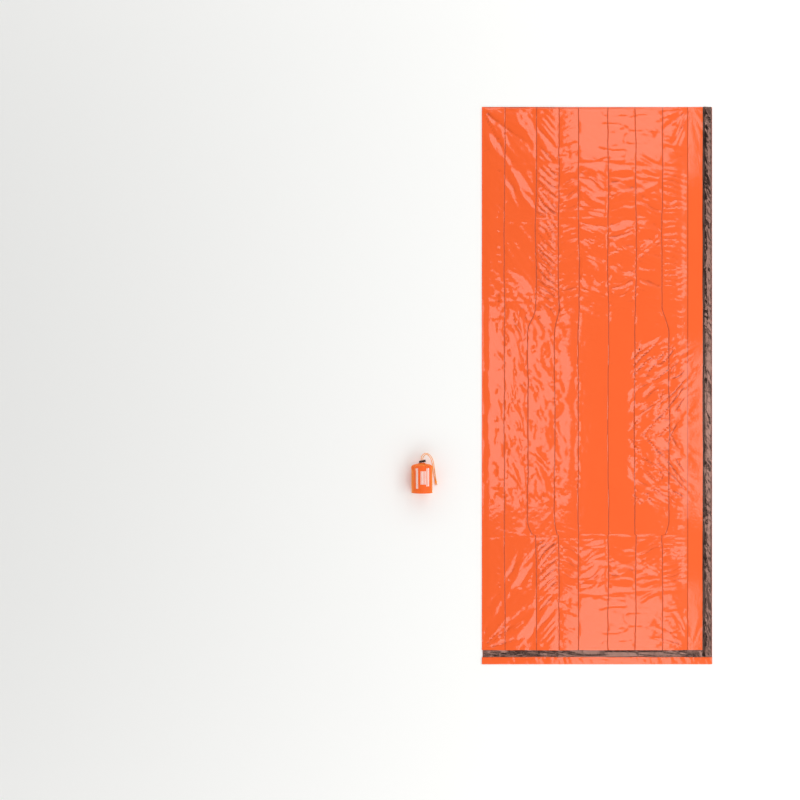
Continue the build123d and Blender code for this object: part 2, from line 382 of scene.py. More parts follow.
def columnEdges(m):
    creases = [creaseLine(k, m) for k in range(len(filmShape["creases"]))]
    return [0 * m] + creases + [0 * m + sealU]


def zone(x, y, limits, soft=0.05):
    x0, x1, y0, y1 = limits
    inX = smoothStep((x - x0) / soft) * smoothStep((x1 - x) / soft)
    return inX * smoothStep((y - y0) / soft) * smoothStep((y1 - y) / soft)


def crumple(across, along, layer, seed):
    # facets at two sizes and a net of thin sharp creases, drawn out along one direction
    height, size, length = layer
    h = facetNoise(across / size, along / length, seed)
    h = h + 0.55 * facetNoise(across / (size * 0.42), along / (length * 0.42), seed + 1)
    net = np.abs(softNoise(across / (size * 0.75), along / (length * 0.75), seed + 2))
    return height * (h - 0.8 * (1 - np.minimum(net / 0.30, 1)))


def sawRipple(phase, share, seed):
    # falls over the given share of each ripple and climbs back over the rest
    cell = np.floor(phase)
    t = phase - cell
    size = 0.7 + 0.3 * latticeValue(cell, 0 * cell, seed)
    return size * np.where(t < share, 1 - t / share, (t - share) / (1 - share))


def columnRelief(c, u, m, a, b, foldDistance, nearest):
    # one column of film between two lengthwise creases, at a and b
    shape = filmShape
    out = smoothStep((m - 0.36) / 0.14)
    end = smoothStep((m - 0.96) / 0.08)
    window = smoothStep(np.minimum(u - a, b - u) / 0.012)
    pitch = shape["ripplePitch"][c]
    height = shape["rippleMiddle"][c] * (1 - out) + shape["rippleOut"][c] * out
    height = height * (1 - end) + shape["rippleEnd"][c] * end
    along = m + shape["rippleSlant"][c] * (u - a) + 0.006 * softNoise(u / 0.03, m / 0.05, 40 + c)
    across = (u - a) / shape["facetWidth"]
    ripple = facetNoise(across + 3.7 * c, along / pitch, 60 + c)
    ripple = ripple + 0.35 * facetNoise(across * 1.9, along / (pitch * 0.42), 80 + c)
    uneven = along + 0.011 * softNoise(m / 0.07, u / 0.06 + c, 50)
    saw = sawRipple(uneven / shape["sawPitch"][c], shape["sawShare"][c], 70 + c)
    ripple = height * ripple + shape["sawHeight"][c] * saw * out * (1 - 0.8 * end)
    # a cross fold runs over the column as a thin valley, stronger in some columns
    strength = np.clip(0.35 + 0.65 * softNoise(u / 0.045, 1.7 * nearest + 0 * u, 91), 0, 1)
    strength = strength * np.where(nearest == len(shape["folds"]) - 1, 0.45, 1.0)
    fold = -np.exp(-(foldDistance / shape["foldHalfWidth"]) ** 2) * strength * shape["foldDepth"]
    calm = smoothStep(foldDistance / 0.020)
    pillow = shape["pillow"][c] * np.sin(np.pi * np.clip((u - a) / (b - a), 0, 1))
    return window * (calm * ripple + fold) + pillow


def filmRelief(u, v):
    # height of the upper film over its level loft, and how much painted shade darkens each point's crease
    shape = filmShape
    s = v - upperMid
    m = foldRun(v)
    edges = columnEdges(m)
    column = sum((u > edge - 1e-7).astype(int) for edge in edges[1:-1])
    relief = np.zeros_like(u)
    creaseShade = np.zeros_like(u)
    stray = 0.010 * lineNoise(u, 0.11, 95) * smoothStep((m - 0.85) / 0.1)
    toFolds = np.abs(np.stack([m + stray - fold for fold in shape["folds"]]))
    nearest, foldDistance = np.argmin(toFolds, axis=0), toFolds.min(axis=0)
    for c, (a, b) in enumerate(zip(edges, edges[1:])):
        relief = np.where(column == c, columnRelief(c, u, m, a, b, foldDistance, nearest), relief)
    for c, edge in enumerate(edges[1:-1]):
        groove = np.clip(1 - np.abs(u - edge) / shape["creaseHalfWidth"], 0, 1)
        relief = relief - groove * (shape["creaseDepth"] * (0.75 + 0.35 * lineNoise(m, 0.05, 33, c)))
        # painted shade: the film's colour darkens along each crease groove
        creaseShade = np.maximum(creaseShade, groove)
    # ridges that point away from the bag's ends where they meet the sixth crease
    for reach, leftSlant, rightSlant in shape["chevrons"]:
        gap = u - edges[6]
        ridge = m - reach - np.where(gap < 0, leftSlant, rightSlant) * np.abs(gap)
        ridge = np.clip(1 - np.abs(ridge) / shape["chevronHalfWidth"], 0, 1)
        relief = relief + shape["chevronHeight"] * ridge * smoothStep((0.105 - np.abs(gap)) / 0.03)
    # thin wrinkles over the level ends
    end = smoothStep((m - 0.96) / 0.08)
    net = np.abs(softNoise(u / 0.10, m / 0.026, 511) + 0.3 * softNoise(u / 0.03, m / 0.02, 512))
    patch = smoothStep((softNoise(u / 0.10, m / 0.07, 513) + 0.15) / 0.25)
    relief = relief - shape["wrinkleDepth"] * end * patch * np.clip(1 - net / 0.26, 0, 1)
    # small flats down the first column
    at, height = shape["beads"]
    beads = np.exp(-((u - at - 0.003 * lineNoise(s, 0.05, 331)) / 0.007) ** 2)
    relief = relief + beads * smoothStep((m - 0.36) / 0.14) * facets(u, s, (height, 0.02, 0.017), 332)
    across = u + 0.006 * softNoise(u / 0.05, s / 0.07, 205)
    relief = relief + zone(u, s, shape["leftPatch"]) * crumple(across, s, shape["leftCrumple"], 201)
    slope, across = np.abs(s - shape["rightMiddle"]), u - 0.7
    slanted = crumple(slope - 1.1 * across, slope + 0.9 * across, shape["rightCrumple"], 301)
    relief = relief + zone(u, s, shape["rightPatch"]) * slanted
    # small puckers along the crease amid the bag
    chain = np.exp(-((u - edges[4] - 0.0035 * lineNoise(s, 0.03, 321)) / 0.0045) ** 2)
    chain = chain * smoothStep((0.26 - m) / 0.05) * (0.6 + 0.6 * lineNoise(s, 0.009, 322))
    relief = relief + shape["puckerHeight"] * chain
    for i, (cornerU, sign, reach) in enumerate(shape["fans"]):
        dx, dy = u - cornerU, upperHalf - sign * s
        far = np.hypot(dx, dy)
        angle = np.arctan2(dy, np.abs(dx) + 1e-6)
        fan = facets(angle, far, (shape["fanHeight"], 1 / 7, 0.25), 401 + i)
        relief = relief + fan * smoothStep((reach - far) / 0.12) * smoothStep(far / 0.05)
    return relief + 0.00016 * softNoise(u / 0.011, s / 0.008, 501), creaseShade


def upperHeight(u, v):
    relief, creaseShade = filmRelief(u, v)
    low, lastCrease = filmShape["sealHeight"], filmShape["creases"][-1]
    # level over the bag, down a ramp to the weld at the side and the head, low at the mouth
    side = smoothStep((lastCrease + 0.006 - u) / filmShape["ramp"])
    head = smoothStep((bagLength - filmShape["headBand"] - v) / 0.007)
    mouth = 0.5 + 0.5 * smoothStep((v - mouthV) / 0.05)
    fold = 0.25 + 0.75 * smoothStep(u / 0.035)
    level = side * head * mouth * fold
    free = np.clip(level * 1.3, 0.10, 1)
    top = low + level * (filmShape["level"] - low) + filmShape["sealTilt"] * np.maximum(u - lastCrease, 0)
    return np.maximum(top + relief * free, low - 0.0003), creaseShade


def columnLines():
    # grid lines across the bag: they keep to the creases, with a close pair beside each
    lines = []
    edges = [0.0] + list(filmShape["creases"]) + [sealU]
    half = filmShape["creaseHalfWidth"]
    for c in range(len(edges) - 1):
        width = edges[c + 1] - edges[c]
        low = half if c else 0.0
        high = width - half if c < len(edges) - 2 else width
        count = max(2, round((high - low) / filmShape["stepAcross"]))
        if c:
            lines.append((c, 0.0))
        lines += [(c, (low + (high - low) * i / count) / width) for i in range(count + 1)]
    return lines


def upperPoints(vLines, thin=1):
    every = columnLines()
    lines = every[::thin]
    if lines[-1] != every[-1]:
        lines.append(every[-1])
    v = np.array(vLines)[:, None] + np.zeros((1, len(lines)))
    edges = columnEdges(foldRun(v))
    u = np.zeros_like(v)
    for i, (c, t) in enumerate(lines):
        u[:, i] = edges[c][:, i] + t * (edges[c + 1][:, i] - edges[c][:, i])
    return u, v, *upperHeight(u, v)


def valleyShade(u, v, z):  # where the film folds into a sharp valley, painted shade darkens its colour
    step = np.maximum(np.gradient(u, axis=1), 0.001)
    across = np.gradient(np.gradient(z, axis=1), axis=1) / step ** 2
    along = np.gradient(np.gradient(z, axis=0), axis=0) / np.gradient(v, axis=0) ** 2
    return np.clip((across + along) * 0.012 - 0.25, 0, 0.8)


def mouthWave(x, v):  # the upper film's foot edge wanders a little
    return 0.0009 * lineNoise(x, 0.07, 702) * smoothStep((mouthV + 0.03 - v) / 0.03)


def buildUpperFilm(material, linerMaterial):
    rows = round((bagLength - mouthV) / filmShape["step"])
    u, v, z, creaseShade = upperPoints(np.linspace(mouthV, bagLength, rows + 1))
    # painted shade: sharp valleys darken the colour as well as the creases
    creaseShade = np.maximum(creaseShade, valleyShade(u, v, z))
    # the fold: a half round from the lower film up to the upper one
    turns = np.radians(np.linspace(-90, 60, 6))[None, :]
    radius = (z[:, :1] - 0.0003) / 2 + 0.0004
    foldU = radius * (1 - np.cos(turns))
    foldZ = 0.0003 + radius * (1 + np.sin(turns))
    u = u + radius * np.exp(-u / 0.01)
    edgeWave = 0.0007 * lineNoise(v, 0.09, 701) * smoothStep((u - 0.80) / 0.03)
    x = np.concatenate([foldU, u + edgeWave], axis=1) + bagLeft
    v = np.concatenate([np.repeat(v[:, :1], foldU.shape[1], axis=1), v], axis=1)
    points = np.stack([x, v + bagFoot + mouthWave(x, v), np.concatenate([foldZ, z], axis=1)], axis=-1)
    creaseShade = np.concatenate([np.zeros_like(foldU), creaseShade], axis=1)
    film = gridMesh("upperFilmShell", points, attributes={"paintedCreaseShade": creaseShade})
    giveMaterial(film, material, 12)
    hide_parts("upper_shell", "flap_shell", "side_fold", "side_seal", "head_seal")

    # the metallised face under it stops short of the weld
    u, v, z, _ = upperPoints(np.linspace(mouthV, bagLength - 0.03, rows // 2), thin=2)
    keep = u[0] < filmShape["creases"][-1] - 0.03
    u, v = u[:, keep] + 0.004, v[:, keep]
    z = z[:, keep] - 0.0003 - 0.0019 * smoothStep((v - mouthV) / 0.02)
    x, y = u + bagLeft, v + bagFoot + mouthWave(u + bagLeft, v)
    inner = gridMesh("upperFilmLiner", np.stack([x, y, np.maximum(z, filmTop + 0.0005)], axis=-1)[:, ::-1])
    giveMaterial(inner, linerMaterial)
    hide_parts("upper_liner", "flap_liner")
    print("upper film", len(film.data.polygons), "faces, liner", len(inner.data.polygons))
    return film, inner


lowerShape = {  # each layer of facets: height, width and length
    "marginFacets": ((0.0018, 0.024, 0.060), (0.0011, 0.009, 0.018)),
    "bareFacets": (0.0030, 0.075, 0.017),
    "undersideFacets": (0.00022, 0.05, 0.06),
    "hemFacets": ((0.0006, 0.024, 0.020), (0.0004, 0.009, 0.03)),
    "marginLift": 0.0016,
    "marginCrown": 0.0034,
    "hemLift": 0.0011,  # half the height of the hem's turn
    "footRows": (0.075, 26),  # the finer rows at the foot: how far they reach, how many
    "columns": (150, 30),  # inside, and in the margin
    "rows": 480,
}


def buildLowerLiner(material):
    # the metallised face, finer in the margins that show
    shape = lowerShape
    under, margin = shape["columns"]
    uLines = np.linspace(0.004, sealU - 0.03, under)
    uLines = np.concatenate([uLines, np.linspace(sealU - 0.03, bagWidth, margin)[1:]])
    reach, count = shape["footRows"]
    vLines = [np.linspace(0, reach, count)[:-1], np.linspace(reach, bagLength, shape["rows"])]
    u, v = np.meshgrid(uLines, np.concatenate(vLines))
    hemWidth = hemHigh.y - bagFoot
    pastHem = smoothStep((v - hemWidth) / 0.004)
    bare = smoothStep((mouthV + 0.004 - v) / 0.010) * pastHem
    edge = np.clip((smoothStep((u - sealU - 0.001) / 0.006) + bare) * pastHem, 0, 1)
    crinkle = sum(facets(u, v, layer, 801 + i) for i, layer in enumerate(shape["marginFacets"]))
    crinkle = crinkle * (1 - 0.6 * bare) + bare * facets(u, v, shape["bareFacets"], 803)
    # the margin crowns near the weld and falls away to its edge
    over = np.clip((u - sealU) / (bagWidth - sealU), 0, 1)
    crown = 0.40 + 0.16 * lineNoise(v, 0.05, 804) + 0.08 * lineNoise(v, 0.012, 805)
    crinkle = crinkle + shape["marginCrown"] * np.minimum(over / crown, (1 - over) / (1 - crown))
    rim = smoothStep(np.minimum(bagWidth - u, v) / 0.004)
    z = np.maximum(filmTop + 0.0001 + edge * rim * (shape["marginLift"] + crinkle), filmTop)
    x = u + bagLeft - 0.0006 * (u > bagWidth - 1e-6)
    liner = gridMesh("lowerFilmLiner", np.stack([x, v + bagFoot, z], axis=-1))
    giveMaterial(liner, material, 50)
    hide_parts("lower_liner")
    return liner


def buildLowerShell(material):
    # the coloured face underneath, turned up over the edge at the side and the foot
    uLines = np.concatenate([np.linspace(0.003, bagWidth - 0.004, 90), [bagWidth - 0.001, bagWidth]])
    u, v = np.meshgrid(uLines, np.linspace(0, bagLength, 220))
    z = 0.0002 + np.abs(facets(u, v, lowerShape["undersideFacets"], 811))
    edge = np.minimum(np.minimum(bagWidth - u, v), bagLength - v)
    z = np.where(edge < 1e-6, filmTop + 0.0004, z)
    points = np.stack([u + bagLeft, v + bagFoot, z], axis=-1)[:, ::-1]
    shell = gridMesh("lowerFilmShell", points, attributes={"paintedCreaseShade": np.zeros_like(z)})
    giveMaterial(shell, material)
    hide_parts("lower_shell")
    return shell


def buildHem(material):
    # the foot edge of the lower film, turned up and back over itself
    hemWidth = hemHigh.y - bagFoot
    lift = lowerShape["hemLift"]
    turn = np.radians(np.linspace(-80, 90, 7))
    roll = [(0.001 - lift * math.cos(t), 0.0003 + lift * (1 + math.sin(t))) for t in turn]
    flat = [(0.001 + (hemWidth - 0.001) * i / 13, 0.0003 + 2 * lift) for i in range(1, 14)]
    profile = np.array(roll + flat + [(hemWidth + 0.0004, 0.0016)])
    u, k = np.meshgrid(np.linspace(0, bagWidth, 360), np.arange(len(profile)))
    v, z = profile[k, 0], profile[k, 1]
    free = smoothStep(v / 0.004)
    crinkle = sum(facets(u, v, layer, 821 + i) for i, layer in enumerate(lowerShape["hemFacets"]))
    z = z + free * (crinkle + 0.0003)
    v = v + 0.0007 * lineNoise(u, 0.05, 823) * free
    points = np.stack([u + bagLeft, v + bagFoot, z], axis=-1)
    hem = gridMesh("mouthHem", points, attributes={"paintedCreaseShade": np.zeros_like(z)})
    giveMaterial(hem, material, 40)
    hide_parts("mouth_hem")
    return hem


def mottledTint(tree, scale, detail, first, second):
    # two near colours that drift into each other over the piece
    place = addNode(tree, "ShaderNodeTexCoord").outputs["Object"]
    cloud = addNode(tree, "ShaderNodeTexNoise", {"Scale": scale, "Detail": detail}, {"Vector": place})
    colours = {"data_type": "RGBA", 6: hexColour(first), 7: hexColour(second)}
    tint = addNode(tree, "ShaderNodeMix", colours, {"Factor": cloud.outputs["Fac"]})
    return place, cloud.outputs["Fac"], tint.outputs[2]


# polyethylene film over an aluminium flash: flat colour under a mirror-smooth skin, so every facet
# either mirrors a lamp with a hard edge or shows the plain colour
def orangeFilm():
    material, tree, shader = newMaterial("orangeMetallisedFilm", {
        "Roughness": 0.45, "Specular IOR Level": 0.15, "Coat Weight": 1.0,
        "Coat Roughness": 0.07, "Coat IOR": 1.5,
    })
    place, _, tint = mottledTint(tree, 9.0, 3.0, "FC662B", "F96228")
    # painted shade: the colour darkens to A83A14 in the creases and sharp valleys
    creaseShade = addNode(tree, "ShaderNodeAttribute", {"attribute_name": "paintedCreaseShade"})
    dark = {"data_type": "RGBA", 7: hexColour("A83A14")}
    creaseShadedTint = addNode(tree, "ShaderNodeMix", dark, {"Factor": creaseShade.outputs["Fac"], 6: tint})
    tree.links.new(creaseShadedTint.outputs[2], shader.inputs["Base Color"])
    # crinkle too small for the mesh, 2 to 8 mm across
    coarse = addNode(tree, "ShaderNodeTexNoise", {"Scale": 130.0, "Detail": 2.0}, {"Vector": place})
    coarse = coarse.outputs["Fac"]
    bump = addNode(tree, "ShaderNodeBump", {"Strength": 0.20, "Distance": 0.0006}, {"Height": coarse})
    tree.links.new(bump.outputs[0], shader.inputs["Normal"])
    tree.links.new(bump.outputs[0], shader.inputs["Coat Normal"])
    return material


# vapour-deposited aluminium on film: a dark mirror that breaks up at each crinkle
def silverFilm():
    material, tree, shader = newMaterial("silverMetallisedFilm", {"Metallic": 1.0, "Roughness": 0.20})
    place, _, tint = mottledTint(tree, 40.0, 4.0, "644A42", "7D625A")
    tree.links.new(tint, shader.inputs["Base Color"])
    coarse = addNode(tree, "ShaderNodeTexNoise", {"Scale": 160.0, "Detail": 2.0}, {"Vector": place})
    coarse = coarse.outputs["Fac"]
    bump = addNode(tree, "ShaderNodeBump", {"Strength": 0.35, "Distance": 0.0006}, {"Height": coarse})
    tree.links.new(bump.outputs[0], shader.inputs["Normal"])
    return material


orange = orangeFilm()
silver = silverFilm()
upperShell, upperLiner = buildUpperFilm(orange, silver)
lowerLiner = buildLowerLiner(silver)
lowerShell = buildLowerShell(orange)
hem = buildHem(orange)
print("lower film", len(lowerLiner.data.polygons), "faces, hem", len(hem.data.polygons))
for piece in (lowerShell, lowerLiner, hem):
    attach(piece, "film_bag")


def blendMouth(piece):
    # the mouth opens as an arch: its middle follows the flap, its fold and its weld stay down
    reach = flapHigh.y - flapLow.y
    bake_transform(piece, "film_bag", "mouth_flap", start=(0, hingeY, loft), end=(0, hingeY - reach, loft))
    share = piece.data.attributes["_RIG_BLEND"].data
    co = np.zeros(len(piece.data.vertices) * 3, dtype=np.float32)
    piece.data.vertices.foreach_get("co", co)
    co = co.reshape(-1, 3)
    across = np.clip((co[:, 0] - bagLeft) / filmShape["creases"][-1], 0, 1)
    along = smoothStep((hingeY - co[:, 1]) / reach * 0.75)
    share.foreach_set("value", (along * np.sin(np.pi * across) ** 1.3).astype(np.float32))


blendMouth(upperShell)
blendMouth(upperLiner)

# ---- stuff sack

sackX = (wallLow.x + wallHigh.x) / 2
sackZ = (seamLow.z + seamHigh.z) / 2
baseY = seamLow.y

sackShape = {
    "radius": 0.0398,
    "wallTop": 0.0945,
    "shoulder": ((0.0401, 0.1050), (0.0330, 0.1062), (0.0140, 0.1098)),  # curve's last three points
    "ringRadius": 0.0100,
    "ringUp": 0.1098,
    "channelRadius": 0.00325,
    "cloth": 0.0005,
    "pleats": 13,
    "pleatDepth": 0.0058,
    "rows": 120,
    "around": 216,
    "bars": ((-19.0, 7.0, 18.0, 95.0), (4.0, 18.0, 34.0, 84.0), (21.5, 9.0, 27.0, 95.0)),  # mm
    "ink": 0.00016,
    "stripePitch": 4.5,  # mm, a bar is printed as stripes about this far apart
    "baseRadius": 0.0386,
    "seam": (0.0388, 0.00145, 0.00125),  # ring radius, height over the base, roll radius
    "sideSeam": (0.003, 0.00075, 0.0004),  # half width, depth under the wall's outside, thickness
    # stitch runs: how many, and each one's length; above the base seam, then round the mouth
    "stitches": ((76, 0.0021), (34, 0.0019)),
}


def runAlong(line):
    return np.concatenate([[0], np.cumsum(np.linalg.norm(np.diff(line, axis=0), axis=1))])


def pairUp(a, b):
    return np.stack(np.broadcast_arrays(a, b), axis=-1)


def sackProfile():
    # run, radius, height and outward normal down the cloth, from the base seam over into the mouth
    shape = sackShape
    rise = np.linspace(0.0016, shape["wallTop"], 60)
    turnIn = 0.0009 * np.clip(1 - rise / 0.009, 0, 1) ** 2
    wall = np.stack([shape["radius"] - turnIn, rise], axis=1)
    t = np.linspace(0, 1, 40)[1:, None]
    a, (b, c, d) = wall[-1], (np.array(p) for p in shape["shoulder"])
    over = a * (1 - t) ** 3 + 3 * b * t * (1 - t) ** 2 + 3 * c * t * t * (1 - t) + d * t ** 3
    turn = np.radians(np.linspace(-12, 235, 24))[:, None]
    centre = np.array([shape["ringRadius"], shape["ringUp"]])
    ring = centre + shape["channelRadius"] * np.concatenate([np.cos(turn), np.sin(turn)], axis=1)
    inside = np.array([[0.0098, 0.1040], [0.0135, 0.1015], [0.0190, 0.1000]])
    line = np.concatenate([wall, over, ring, inside])
    run = runAlong(line)
    even = np.linspace(0, run[-1], shape["rows"])
    r, z = np.interp(even, run, line[:, 0]), np.interp(even, run, line[:, 1])
    dr, dz = np.gradient(r), np.gradient(z)
    size = np.hypot(dr, dz)
    return even, r, z, dz / size, -dr / size


def roundSack(theta, r, z):  # theta is 0 along +X and -90 degrees up
    place = (sackX + r * np.cos(theta), baseY + z, sackZ - r * np.sin(theta))
    return np.stack(np.broadcast_arrays(*place), axis=-1)


def sackSurface(theta, r, z, nr, nz, lift=0.0):
    # cloth pushed in at each pleat and rumpled elsewhere
    x, y = r * np.cos(theta), r * np.sin(theta)
    push = 0.00042 * softNoise((x + 0.6 * z) / 0.022, (y - 0.5 * z) / 0.022, 901)
    push = push + facets(x + 0.5 * z, y - 0.4 * z, (0.00022, 0.010, 0.010), 902)
    push = push * smoothStep((z - 0.004) / 0.012)
    count = sackShape["pleats"]
    wave = 0.0 * theta
    for k in range(count):
        drift, size, reach = (float(latticeValue(np.array(k), np.array(i), 911)) for i in range(3))
        size = 0.68 + 0.32 * size
        middle = 2 * math.pi * (k + 0.32 * drift) / count
        onShoulder = smoothStep((z - 0.084 - 0.006 * reach) / 0.014)
        off = theta - middle - 0.10 * np.sin(z / 0.006 + k) * onShoulder
        off = np.angle(np.exp(1j * off))
        width = 0.075 + 0.05 * size
        valley = -size * np.exp(-np.abs(off / width) ** 1.5)
        wave = wave + onShoulder * (valley + 0.36 * np.exp(-(off / (2.3 * width)) ** 2))
    neck = 1 - 0.58 * smoothStep((0.030 - r) / 0.016)
    push = push + sackShape["pleatDepth"] * wave * neck
    pucker = np.sin(27 * theta + 2.0 * softNoise(np.cos(theta) * 3, np.sin(theta) * 3, 921))
    push = push + 0.00042 * pucker * smoothStep((0.020 - r) / 0.005) * smoothStep((z - 0.100) / 0.004)
    push = push + lift
    return roundSack(theta, r + nr * push, z + nz * push)


def solidify(piece, thickness, offset=-1.0):
    selectOnly(piece)
    skin = piece.modifiers.new("thickness", "SOLIDIFY")
    skin.thickness = thickness
    skin.offset = offset
    skin.use_even_offset = False
    bpy.ops.object.modifier_apply(modifier=skin.name)


def buildSackBody(material):
    even, *skin = sackProfile()
    theta = np.linspace(0, 2 * math.pi, sackShape["around"], endpoint=False)[None, :]
    points = sackSurface(theta, *(a[:, None] for a in skin))
    uv = pairUp(theta * sackShape["radius"], even[:, None])
    body = gridMesh("stuffSackBody", points, closedAcross=True, uv=uv)
    solidify(body, sackShape["cloth"])
    giveMaterial(body, material, 50)
    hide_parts("sack_wall", "cord_channel")
    return body


def buildSackBase(material):
    # a round of cloth drawn in to the seam, as a square grid bowed out to a disc
    line = np.linspace(-1, 1, 72)
    a, b = np.meshgrid(line, line)
    x, y = a * np.sqrt(1 - b * b / 2), b * np.sqrt(1 - a * a / 2)
    r, theta = np.hypot(x, y), np.arctan2(y, x)
    bulge = 0.0003 * softNoise(x * 2.2, y * 2.2, 931) * (1 - r ** 2)
    gather = 0.00022 * np.sin(44 * theta) * smoothStep((r - 0.80) / 0.15)
    radius = sackShape["baseRadius"]
    points = [sackX + radius * x, baseY + (0.0020 + bulge + gather), sackZ - radius * y]
    uv = pairUp(x, y)[:, ::-1] * radius
    base = gridMesh("stuffSackBase", np.stack(points, axis=-1)[:, ::-1], uv=uv)
    solidify(base, sackShape["cloth"], 0.0)
    giveMaterial(base, material, 50)
    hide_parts("sack_base")
    return base


def buildBaseSeam(material):
    radius, up, roll = sackShape["seam"]
    theta = np.linspace(0, 2 * math.pi, 288, endpoint=False)[None, :]
    turn = np.linspace(0, 2 * math.pi, 15)[:, None]
    gather = np.sin(61 * theta + 1.4 * np.sin(5 * theta)) * (0.4 + 0.6 * np.cos(turn))
    roll = roll + 0.00014 * gather
    r = radius + 0.0001 * np.sin(7 * theta) + roll * np.cos(turn)
    points = roundSack(theta, r, up + roll * np.sin(turn))
    seam = gridMesh("stuffSackBaseSeam", points, closedAcross=True, uv=pairUp(theta * 0.04, 0.0014 * turn))
    closeSurface(seam, fill=False)
    giveMaterial(seam, material)
    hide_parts("base_seam")
    return seam


def buildSideSeam(material):
    # the lapped seam under the back of the wall, just inside the cloth
    half, depth, thickness = sackShape["sideSeam"]
    _, *skin = sackProfile()
    r, z = skin[:2]
    rows = (z > 0.006) & (z < 0.088) & (r > 0.039)
    theta = np.linspace(-half, half, 7)[None, :] / sackShape["radius"] + math.pi / 2
    skin = [a[rows][:, None] for a in skin]
    points = sackSurface(theta, *skin, lift=-depth)
    seam = gridMesh("stuffSackSideSeam", points, uv=pairUp(theta * 0.04, skin[1]))
    solidify(seam, thickness)
    giveMaterial(seam, material, 50)
    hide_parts("side_seam")
    return seam


def wallPatch(t, up, lift):
    # a patch of the wall's outside between angles t and heights up
    _, *skin = sackProfile()
    r, z = skin[:2]
    rows = np.flatnonzero(r > 0.030)
    order = rows[np.argsort(z[rows])]
    skin = [np.interp(up, z[order], a[order])[:, None] for a in skin]
    return sackSurface(t[None, :], *skin, lift=lift)


def joinPieces(pieces, name, material, node=None):
    bpy.ops.object.select_all(action="DESELECT")
    for piece in pieces:
        piece.select_set(True)
    joined = bpy.context.view_layer.objects.active = pieces[0]
    bpy.ops.object.join()
    joined.name = joined.data.name = name
    giveMaterial(joined, material, 40)
    if node:
        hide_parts(node)
    return joined


def buildPrintedBars(material):
    # each bar is printed as a few stripes, with gaps as wide as they are
    stripes = []
    for across, wide, low, high in sackShape["bars"]:
        count = max(2, round(wide / sackShape["stripePitch"]))
        stripe = wide / (2 * count - 1)
        up = np.linspace(low, high, 70) * mm
        for k in range(count):
            left = across - wide / 2 + 2 * k * stripe
            t = np.arcsin(np.linspace(left, left + stripe, 5) * mm / sackShape["radius"]) - math.pi / 2
            stripes.append(gridMesh("stripe", wallPatch(t, up, sackShape["ink"])))
    return joinPieces(stripes, "printedBars", material, "printed_bars")


def buildStitches(material):
    # runs of short thread over the cloth: above the base seam, and round the channel's hem
    _, *skin = sackProfile()
    r, z = skin[:2]
    stitches = []
    aboveSeam = int(np.argmin(np.abs(z - 0.0064) + (r < 0.030)))
    roundMouth = int(np.argmin(np.abs(r - 0.0172) + (z < 0.100)))
    thick = 0.00021 * np.sqrt(np.clip(1 - np.linspace(-0.95, 0.95, 5) ** 2, 0.05, 1))
    for row, (count, length) in zip((aboveSeam, roundMouth), sackShape["stitches"]):
        for k in range(count):
            t = 2 * math.pi * k / count + length / 2 / r[row] * np.linspace(-1, 1, 5)
            line = sackSurface(t, *(a[row] for a in skin), lift=0.0001)
            stitches.append(tubeMesh("stitch", line, thick, sides=6))
    return joinPieces(stitches, "stuffSackStitches", material)


# ---- drawcord

def tubeMesh(name, line, radius, sides=20, relief=None):
    # a tube along a line, with frames carried along it so that it doesn't twist
    line = np.asarray(line, dtype=float)
    tangent = np.gradient(line, axis=0)
    tangent /= np.linalg.norm(tangent, axis=1)[:, None]
    up = np.cross(tangent[0], (0, 0, 1.0))
    if np.linalg.norm(up) < 0.1:
        up = np.cross(tangent[0], (1.0, 0, 0))
    ups = []
    for t in tangent:
        up = up - t * np.dot(up, t)
        up = up / np.linalg.norm(up)
        ups.append(up)
    ups = np.array(ups)
    side = np.cross(tangent, ups)
    run = runAlong(line)[:, None]
    theta = np.linspace(0, 2 * math.pi, sides, endpoint=False)[None, :]
    r = np.asarray(radius, dtype=float).reshape(-1, 1) * (1 + (relief(theta, run) if relief else 0 * theta))
    r = np.broadcast_to(r, (len(line), sides))[..., None]
    spoke = ups[:, None] * np.cos(theta)[..., None] + side[:, None] * np.sin(theta)[..., None]
    uv = pairUp(theta / (2 * math.pi), run)
    tube = gridMesh(name, line[:, None] + spoke * r, closedAcross=True, uv=uv)
    closeSurface(tube)
    return tube


cordShape = {
    "radius": 0.0013,
    "ring": 0.00045,  # spacing of the tube's rings
    "strands": 6,
    "pick": 0.0034,  # length of the braid's repeat
    "relief": 0.07,
    "onFloor": 0.0014,
    "lockTilt": 10.0,
    "lockGap": 2.6,
    "lockAcross": 1.0,
    "lockOver": 8.9,  # mm over the sack's axis
    "barrelRadius": 4.1,
    "stations": (-4.1, 3.6),
    "knot": (54.0, 38.0, 4.4),
    "tipLength": 7.6,
    "tipBead": (1.06, 1.10, 0.95, 0.55),
}


def braidRelief(theta, run):
    n, k = cordShape["strands"], 2 * math.pi / cordShape["pick"]
    a, b = np.sin(n * theta + k * run), np.sin(n * theta - k * run)
    return cordShape["relief"] * (np.maximum(a, b) ** 2 - 0.6)


def sackPoint(across, up, height):  # mm beside the lying sack, and mm over the floor
    return Vector((sackX + across * mm, baseY + up * mm, height * mm))


tilt = math.radians(cordShape["lockTilt"])
lockAlong = Vector((math.cos(tilt), math.sin(tilt), 0))
lockUp = Vector((-math.sin(tilt), math.cos(tilt), 0))
sackHeight = (channelHigh.y - baseY) / mm
lockMiddle = sackPoint(
    cordShape["lockAcross"],
    sackHeight + cordShape["lockGap"] + cordShape["barrelRadius"],
    sackZ / mm + cordShape["lockOver"])


def tailRoute(station, straight, beyond):
    # out of the channel and through the lock, then down to the floor; mm, None is lying on the floor
    atLock = lockMiddle + lockAlong * station * mm
    channelMiddle = (channelLow.y + channelHigh.y) / 2
    below = atLock.y - (channelMiddle + cordShape["radius"] + 0.0006)
    start = atLock - lockUp * (below / lockUp.y)
    floor = cordShape["onFloor"] / mm
    route = [start] + [start + lockUp * length * mm for length in straight]
    return route + [sackPoint(x, y, floor if z is None else z) for x, y, z in beyond]


